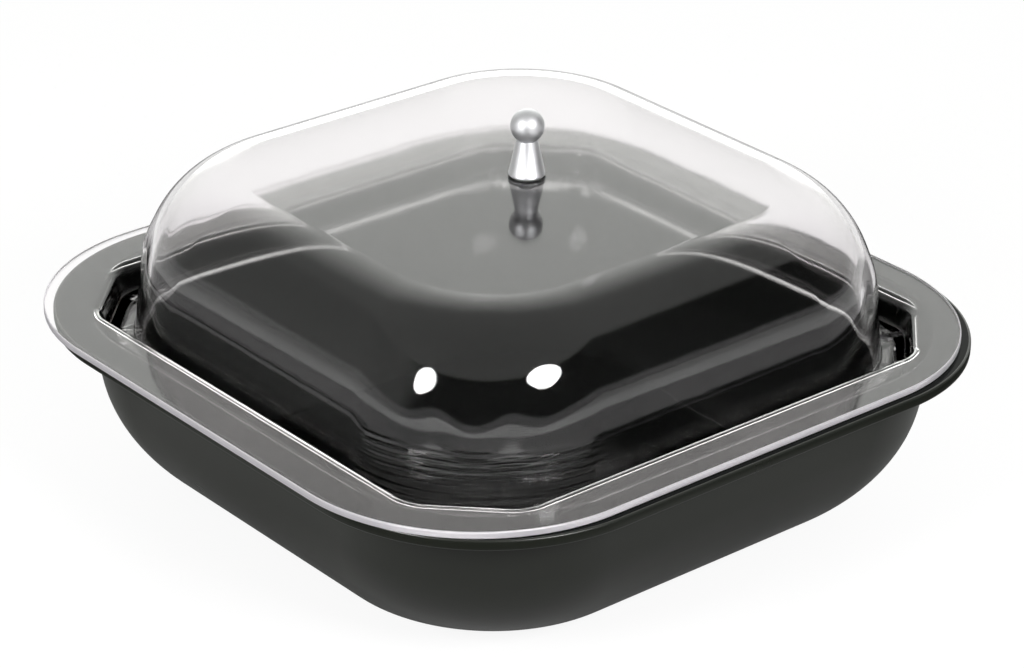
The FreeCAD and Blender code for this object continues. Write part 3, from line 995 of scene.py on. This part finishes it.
    def dome_face(self, shell: Shell, form: WallForm, foot_level: float,
                  out: int) -> tuple[Edges, Edges]:
        """Draws one face of the dome.

        Args:
            shell: The cover's shell.
            form: The face's form.
            foot_level: Height of the flat at its foot.
            out: 1 where that flat lies outside the face, or -1.

        Returns:
            The lower ring and the upper ring.
        """
        # the flat is a narrow channel, with room for a narrow ring
        foot = form.wall_at(foot_level)
        rings = foot.rounded(foot_level, self.floor_round, self.edge_steps, out, 1,
                             keep=0.3 * FLAT_KEEP)
        rings += [ring for ring in form.sections(*self.dome_steps)
                  if ring[1] > foot_level + 2 * self.floor_round]
        outline, level = rings[-1]
        return shell.lay([*rings, (outline.grown(-FLAT_KEEP), level)], self.axis)

    def build(self) -> bpy.types.Object:
        """Makes the cover as one closed sheet.

        Returns:
            The piece.
        """
        shell = Shell(self.segments)
        foot_level = self.underside - self.groove_depth
        floor_level = foot_level + self.sheet
        edge_upper, edge_lower = self.edge_strip(shell)
        groove_upper, groove_lower = self.skirt_face(
            shell, self.roll_radius, self.flange_top, self.sheet, floor_level, self.floor_round,
            True)
        skirt_upper, skirt_lower = self.skirt_face(
            shell, self.roll_radius - self.sheet, self.underside, 0.0, foot_level,
            self.foot_round, False)
        shell.fill(edge_upper, groove_upper)
        shell.fill(edge_lower, skirt_upper)
        outside = self.dome()
        outer_foot, outer_top = self.dome_face(shell, outside, floor_level, 1)
        inner_foot, inner_top = self.dome_face(shell, outside.inside(self.sheet), foot_level, -1)
        shell.fill(groove_lower, outer_foot)
        shell.fill(skirt_lower, inner_foot)
        hole_upper, hole_lower = shell.bore(self.knob_axis, self.hole_radius, self.top,
                                            self.top - self.sheet, self.hole_sides)
        shell.fill(outer_top, hole_upper)
        shell.fill(inner_top, hole_lower)
        self.uneven(shell.mesh)
        return finish_mesh(shell.mesh, "clear_dome_cover",
                           [ClearAcrylic().make(), ScrapedAcrylicEdge().make()])

    def uneven(self, mesh: bmesh.types.BMesh) -> None:
        """Gives each corner of the dome the slow waves that drawing left in it.

        Both faces of the sheet move alike, straight out from the dome's axis, so its thickness
        stays as it is.

        Args:
            mesh: The cover's mesh.
        """
        low, middle, high = self.wave_levels
        for vert in mesh.verts:
            level = vert.co.z
            if not low < level < high:
                continue
            away = Vector((vert.co.x - self.axis.x, vert.co.y - self.axis.y, 0))
            across = (abs(away.x) - abs(away.y)) / math.sqrt(2)
            near = min(abs(across) / self.wave_reach, 1)
            end = low if level < middle else high
            rise = math.sin((level - end) / (middle - end) * QUARTER_TURN) ** 2
            share = rise * math.cos(near * QUARTER_TURN) ** 2
            wave = math.cos(FULL_TURN * across / self.wave_length)
            vert.co += away.normalized() * (self.wave_height * share * wave)


# ---------------- turned pieces


def arc(centre: tuple[float, float], radius: float, first: float, last: float,
        steps: int) -> list[tuple[float, float]]:
    """Lists points on an arc of a turned profile.

    Args:
        centre: The arc's centre, as radius and height.
        radius: The arc's radius.
        first: Angle of its first point, in degrees up from the outward direction.
        last: Angle of its last point.
        steps: Points after the first.

    Returns:
        The points, as radius and height.
    """
    angles = [math.radians(first + (last - first) * step / steps) for step in range(steps + 1)]
    return [(centre[0] + radius * math.cos(angle), centre[1] + radius * math.sin(angle))
            for angle in angles]


def turned(points: list[tuple[float, float]], axis: Vector, base: float, closed: bool,
           sides: int = 72) -> bmesh.types.BMesh:
    """Spins a profile round an upright axis.

    Args:
        points: The profile, as radius and height above the base.
        axis: The axis, in plan.
        base: Height of the profile's own zero.
        closed: Whether the last point joins the first, as on a piece with a bore.
        sides: Faces round the axis.

    Returns:
        The mesh.
    """
    mesh = bmesh.new()
    verts = [mesh.verts.new((axis.x + radius, axis.y, base + height))
             for radius, height in points]
    pairs = list(zip(verts, verts[1:]))
    if closed:
        pairs.append((verts[-1], verts[0]))
    edges = [mesh.edges.new(pair) for pair in pairs]
    bmesh.ops.spin(mesh, geom=verts + edges, cent=(axis.x, axis.y, base), axis=(0, 0, 1),
                   dvec=(0, 0, 0), angle=FULL_TURN, steps=sides, use_merge=True,
                   use_duplicate=False)
    return mesh


@dataclass
class Knob:
    """The turned knob, a cone and a ball, with the seals and the washer that go with it."""

    axis: Vector
    cone_foot_level: float
    ball_seat_level: float
    cone_foot: float
    ball_radius: float
    cone_top: float = 4.5 * MM
    cone_land: float = 1.0 * MM
    cone_break: float = 0.25 * MM
    land_break: float = 0.05 * MM
    cone_swell: float = 0.02 * MM
    hole: float = 2.15 * MM
    ball_seat: float = 3.9 * MM
    seat_ring: float = 0.1 * MM
    tap_radius: float = 1.65 * MM
    tap_depth: float = 10.0 * MM
    edge: float = 0.12 * MM

    def metal(self, name: str) -> bpy.types.Material:
        """Returns satin turned aluminium, with its rings about the knob's axis."""
        return TurnedMetal(name, "#dfdfe1", "#d4d4d7", roughness=0.50, ring_pitch=0.12 * MM,
                           ring_bump=0.004 * MM, axis=self.axis).make()

    def cone(self) -> bpy.types.Object:
        """Makes the conical foot.

        Returns:
            The piece.
        """
        height = self.ball_seat_level - self.cone_foot_level
        rough = self.cone_break
        points = [
            (self.hole, 0.0),
            (self.cone_foot - 1.5 * rough, 0.0),
            *arc((self.cone_foot - rough, rough), rough, -90, 0, 4),
            (self.cone_foot, self.cone_land - self.land_break),
            (self.cone_foot - self.land_break, self.cone_land),
            (self.cone_top + self.cone_swell, height - 1.2 * rough),
            *arc((self.cone_top - rough, height - rough), rough, 20, 90, 4),
            (self.hole, height),
        ]
        mesh = turned(points, self.axis, self.cone_foot_level, closed=True)
        return finish_mesh(mesh, "turned_cone", [self.metal("satin_turned_aluminium_cone")])

    def ball(self) -> bpy.types.Object:
        """Makes the ball.

        Returns:
            The piece.
        """
        centre = math.sqrt(self.ball_radius ** 2 - self.ball_seat ** 2)
        first = -math.degrees(math.asin(centre / self.ball_radius))
        points = [
            (0.0, self.tap_depth),
            (self.tap_radius, self.tap_depth),
            (self.tap_radius, 0.0),
            (self.ball_seat - self.seat_ring, 0.0),
            *arc((0.0, centre), self.ball_radius, first, 90, 40),
        ]
        mesh = turned(points, self.axis, self.ball_seat_level, closed=False)
        return finish_mesh(mesh, "turned_ball", [self.metal("satin_turned_aluminium_ball")])

    def ring(self, name: str, node: str, material: bpy.types.Material) -> bpy.types.Object:
        """Makes a flat ring with soft edges.

        Args:
            name: The piece's name.
            node: The frame's node it stands for.
            material: Its material.

        Returns:
            The piece.
        """
        low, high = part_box(node)
        radius = (high[1] - low[1]) / 2
        thick = high[2] - low[2]
        edge = self.edge
        points = [
            *arc((self.hole + edge, thick - edge), edge, 90, 180, 3),
            *arc((self.hole + edge, edge), edge, 180, 270, 3),
            *arc((radius - edge, edge), edge, -90, 0, 3),
            *arc((radius - edge, thick - edge), edge, 0, 90, 3),
        ]
        return finish_mesh(turned(points, self.axis, low[2], closed=True), name, [material])


@dataclass
class Screw:
    """The socket head screw that holds the knob from inside the dome."""

    axis: Vector
    head_bottom: float
    tip: float
    head_radius: float
    head_height: float = 2.2 * MM
    head_round: float = 1.2 * MM
    head_break: float = 0.05 * MM
    thread_radius: float = 2.0 * MM
    tip_break: float = 0.5 * MM
    socket_width: float = 2.5 * MM
    socket_depth: float = 1.3 * MM
    sharp_angle: float = 40.0

    def build(self) -> bpy.types.Object:
        """Makes the screw, head down.

        Returns:
            The piece.
        """
        length = self.tip - self.head_bottom
        flat = self.head_radius - self.head_round
        points = [
            (flat, 0.0),
            *arc((flat, self.head_round), self.head_round, -85, 0, 7),
            (self.head_radius, self.head_height - self.head_break),
            (self.head_radius - self.head_break, self.head_height),
            (self.thread_radius, self.head_height),
            (self.thread_radius, length - self.tip_break),
            (self.thread_radius - self.tip_break, length),
            (0.0, length),
        ]
        mesh = turned(points, self.axis, self.head_bottom, closed=False, sides=48)
        self.socket(mesh)
        steel = TurnedMetal("plain_stainless_steel_screw", "#9a9a9c", "#838386", roughness=0.3,
                            ring_pitch=0.7 * MM, ring_bump=0.05 * MM, axis=self.axis).make()
        piece = finish_mesh(mesh, "knob_socket_screw", [steel])
        piece.data.set_sharp_from_angle(angle=math.radians(self.sharp_angle))
        return piece

    def socket(self, mesh: bmesh.types.BMesh) -> None:
        """Closes the head's open end round a sunk hexagon.

        Args:
            mesh: The screw's mesh.
        """
        rim = [edge for edge in mesh.edges if len(edge.link_faces) == 1]
        place = Matrix.Translation(Vector((self.axis.x, self.axis.y, self.head_bottom)))
        circle = bmesh.ops.create_circle(mesh, cap_ends=False, segments=6, matrix=place,
                                         radius=self.socket_width / math.sqrt(3))
        hexagon = list({edge for vert in circle["verts"] for edge in vert.link_edges})
        bmesh.ops.triangle_fill(mesh, use_beauty=True, edges=rim + hexagon)
        drawn = bmesh.ops.extrude_edge_only(mesh, edges=hexagon)["geom"]
        verts = [part for part in drawn if isinstance(part, bmesh.types.BMVert)]
        bmesh.ops.translate(mesh, vec=(0, 0, self.socket_depth), verts=verts)
        bottom = [part for part in drawn if isinstance(part, bmesh.types.BMEdge)
                  and part.verts[0] in verts and part.verts[1] in verts]
        bmesh.ops.edgeloop_fill(mesh, edges=bottom)


# ---------------- studio


@dataclass(frozen=True)
class SoftBox:
    """An oval soft lamp that faces the object. Its turn is in degrees from the camera's."""

    name: str
    turn: float
    elevation: float
    width: float
    height: float
    watts: float
    distance: float = 1.6


@dataclass(frozen=True)
class RoomPart:
    """A soft-edged bright part of the room.

    Attributes:
        turn: Its direction, in degrees round from the camera's.
        low: Cosine of the angle from its middle at which it starts.
        high: Cosine of the angle at which it is in full.
    """

    turn: float
    elevation: float
    low: float
    high: float
    strength: float


SOFT_BOXES = (SoftBox("left_soft_box", -41, 25, 0.34, 0.62, 18.0),
              SoftBox("right_soft_box", 37, 31, 0.58, 0.50, 20.0))
BACKDROP = RoomPart(180, 14, 0.40, 0.95, 1.2)
HORIZON = RoomPart(180, 0, 0.925, 0.99, 2.8)
CEILING = RoomPart(0, 90, 0.57, 0.62, 0.42)
LEFT_SIDE = RoomPart(-95, 10, 0.55, 0.85, 0.35)
BELOW = RoomPart(0, -90, -0.05, 0.0, 1.0)
DIM_ROOM = 0.05


@dataclass
class Studio:
    """The pale floor, the soft lamps, the room and the camera."""

    target: Vector
    azimuth: float = 49.69
    elevation: float = 25.85
    roll: float = 0.75
    distance: float = 1.4806
    lens: float = 124.26
    shift_x: float = 0.0019
    shift_y: float = -0.0253
    floor_half: float = 6.0
    # the mirrored floor is painted shade out to the first distance, then a painted dark reflection
    # out to the second
    floor_front: float = 1.4
    painted_shade_edge: float = 0.26
    painted_dark_edge: float = 0.70
    floor_blur: float = 0.05
    # tones of the painted shade and of the painted dark reflection, which only mirrors and bounced
    # light see
    painted_shade_tone: str = "#a0a0a0"
    painted_dark_reflection_tone: str = "#080808"
    paper_tone: str = "#f4f4f4"
    room_tone: str = "#fdfffb"
    white: str = "#ffffff"
    glow: float = 1.03
    glow_share: float = 0.86

    def away(self, turn: float, elevation: float) -> Vector:
        """Works out a direction from the object.

        Args:
            turn: Degrees round from the camera's direction.
            elevation: Degrees up.

        Returns:
            The direction.
        """
        azimuth = math.radians(self.azimuth + turn)
        rise = math.radians(elevation)
        return Vector((math.sin(azimuth) * math.cos(rise), -math.cos(azimuth) * math.cos(rise),
                       math.sin(rise)))

    def camera(self) -> None:
        """Places the scene's camera."""
        back = self.away(0, self.elevation)
        right = Vector((0, 0, 1)).cross(back).normalized()
        up = back.cross(right)
        roll = math.radians(self.roll)
        level_right = right * math.cos(roll) + up * math.sin(roll)
        level_up = up * math.cos(roll) - right * math.sin(roll)
        turn = Matrix((level_right, level_up, back)).transposed().to_4x4()
        data = bpy.data.cameras.new("camera")
        data.sensor_width = SENSOR_WIDTH
        data.lens = self.lens
        data.shift_x = self.shift_x
        data.shift_y = self.shift_y
        camera = bpy.data.objects.new("camera", data)
        camera.matrix_world = Matrix.Translation(self.target + back * self.distance) @ turn
        bpy.context.scene.collection.objects.link(camera)
        bpy.context.scene.camera = camera

    def lamp(self, box: SoftBox) -> None:
        """Adds a soft box.

        Args:
            box: Its sizes and place.
        """
        data = bpy.data.lights.new(box.name, "AREA")
        data.shape = "ELLIPSE"
        data.size = box.width
        data.size_y = box.height
        data.energy = box.watts
        lamp = bpy.data.objects.new(box.name, data)
        towards = self.away(box.turn, box.elevation)
        lamp.location = self.target + towards * box.distance
        lamp.rotation_euler = towards.to_track_quat("Z", "Y").to_euler()
        bpy.context.scene.collection.objects.link(lamp)

    def floor(self) -> None:
        """Lays a pale sheet that ends on the camera's side and keeps the object's shadow."""
        mesh = bmesh.new()
        bmesh.ops.create_grid(mesh, x_segments=1, y_segments=1, size=self.floor_half)
        shift = Vector((0, self.floor_half - self.floor_front, 0))
        bmesh.ops.translate(mesh, vec=shift, verts=mesh.verts)
        turn = Matrix.Rotation(math.radians(self.azimuth), 3, "Z")
        bmesh.ops.rotate(mesh, cent=(0, 0, 0), matrix=turn, verts=mesh.verts)
        data = bpy.data.meshes.new("pale_floor")
        mesh.to_mesh(data)
        mesh.free()
        data.materials.append(self.paper())
        floor = bpy.data.objects.new("pale_floor", data)
        bpy.context.scene.collection.objects.link(floor)

    def paper(self) -> bpy.types.Material:
        """Builds the floor's material.

        Returns:
            White paper to the camera and through the clear cover. What the object mirrors of it,
            and the light that bounces off it, is painted: painted shade near the object, a near
            black painted dark reflection past it, and paper beyond.
        """
        nodes = SurfaceNodes("white_paper_floor_painted_shade_and_reflection")
        ray = nodes.add("LightPath").outputs
        seen = nodes.combine("MAXIMUM", ray["Is Camera Ray"], ray["Is Transmission Ray"])
        away = nodes.add("VectorMath", {"operation": "LENGTH"}, input0=nodes.place)
        # mirrored and bounced, the floor is painted shade near the object, then a painted dark
        # reflection, then paper
        past_painted_shade, past_painted_dark = [
            nodes.step(away.outputs["Value"], edge - self.floor_blur, edge + self.floor_blur)
            for edge in (self.painted_shade_edge, self.painted_dark_edge)
        ]
        painted_shade_and_dark = nodes.blend(past_painted_shade, self.painted_shade_tone, self.painted_dark_reflection_tone)
        room = nodes.blend(past_painted_dark, painted_shade_and_dark, self.paper_tone)
        shade = nodes.blend(seen, room, self.paper_tone)
        paper = nodes.add("BsdfDiffuse", Color=shade, Roughness=0.0)
        glow = nodes.add("Emission", Color=linear(self.white), Strength=self.glow)
        mixed = nodes.add("MixShader", Fac=nodes.combine("MULTIPLY", seen, self.glow_share),
                          input1=paper.outputs[0], input2=glow.outputs[0])
        nodes.add("OutputMaterial", Surface=mixed.outputs[0])
        return nodes.material

    def world(self) -> None:
        """Lights the studio: a white backdrop behind the object, a dim room elsewhere."""
        world = bpy.data.worlds.new("studio")
        bpy.context.scene.world = world
        nodes = Nodes(world)
        ray = nodes.add("LightPath").outputs
        place = nodes.add("TexCoord").outputs["Generated"]
        backdrop, horizon, ceiling, left, below = [
            nodes.step(nodes.add("VectorMath", {"operation": "DOT_PRODUCT"}, input0=place,
                                 input1=tuple(self.away(part.turn, part.elevation))
                                 ).outputs["Value"], part.low, part.high, part.strength)
            for part in (BACKDROP, HORIZON, CEILING, LEFT_SIDE, BELOW)
        ]
        bright = nodes.combine("MAXIMUM", nodes.combine("MAXIMUM", backdrop, ceiling), left)
        strength = nodes.combine("ADD", nodes.combine("ADD", bright, horizon), DIM_ROOM)
        room = nodes.add("Background", Color=linear(self.room_tone), Strength=strength)
        # through the clear cover, the room below the horizon is as white as it is beside it
        through = nodes.combine("MULTIPLY", below, ray["Is Transmission Ray"])
        seen = nodes.combine("MAXIMUM", through, ray["Is Camera Ray"])
        white = nodes.add("Background", Color=linear(self.white), Strength=1.0)
        mixed = nodes.add("MixShader", Fac=seen, input1=room.outputs[0],
                          input2=white.outputs[0])
        nodes.add("OutputWorld", Surface=mixed.outputs[0])

    def build(self) -> None:
        """Sets up the whole studio."""
        self.camera()
        self.floor()
        self.world()
        for box in SOFT_BOXES:
            self.lamp(box)
        bpy.context.scene.view_settings.view_transform = "Standard"


# ---------------- the whole object


def plan_middle(node: str) -> Vector:
    """Returns the middle of a node, in plan."""
    low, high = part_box(node)
    return Vector(((low[0] + high[0]) / 2, (low[1] + high[1]) / 2, 0))


def build_object() -> None:
    """Builds every piece from the frame's boxes, and hands each one over."""
    tray_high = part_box("tray")[1]
    cover_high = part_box("dome_cover")[1]
    cone_low, cone_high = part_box("knob_cone")
    ball_low, ball_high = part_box("knob_ball")
    screw_low, screw_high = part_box("knob_screw")
    axis = plan_middle("knob_cone")
    tray = Tray(rim_half=tray_high[0], height=tray_high[2])
    cover = DomeCover(plan_middle("dome_cover"), tray_high[2], cover_high[2], tray, axis)
    knob = Knob(axis, cone_low[2], cone_high[2], (cone_high[0] - cone_low[0]) / 2,
                (ball_high[1] - ball_low[1]) / 2)
    screw = Screw(axis, screw_low[2], screw_high[2], (screw_high[1] - screw_low[1]) / 2)

    settle_piece(tray.build(), Body.TRAY, "tray")
    settle_piece(cover.build(), Body.COVER, "dome_cover")
    settle_piece(knob.cone(), Body.COVER, "knob_cone")
    settle_piece(knob.ball(), Body.COVER, "knob_ball")
    steel = TurnedMetal("plain_stainless_steel_washer", "#a2a2a4", "#8b8b8e", roughness=0.32,
                        ring_pitch=0.3 * MM, ring_bump=0.01 * MM, axis=axis)
    rings = (
        ("knob_seal", "clear_knob_washer", CLEAR_SILICONE, Slot.CLEAR_SEAL),
        ("inner_seal", "soft_inner_washer", BLACK_EPDM, Slot.SOFT_SEAL),
        ("inner_washer", "steel_inner_washer", steel, Slot.SCREW_STEEL),
    )
    for node, name, finish, slot in rings:
        settle_piece(knob.ring(name, node, finish.make()), Body.COVER, node)
    settle_piece(screw.build(), Body.COVER, "knob_screw")


def main() -> None:
    """Loads the frame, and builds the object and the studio."""
    logging.basicConfig(level=logging.INFO, format="%(name)s: %(message)s")
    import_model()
    build_object()
    Studio(target=Vector((0, 0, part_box("tray")[1][2] + 3 * MM))).build()


if __name__ == "__main__":
    main()
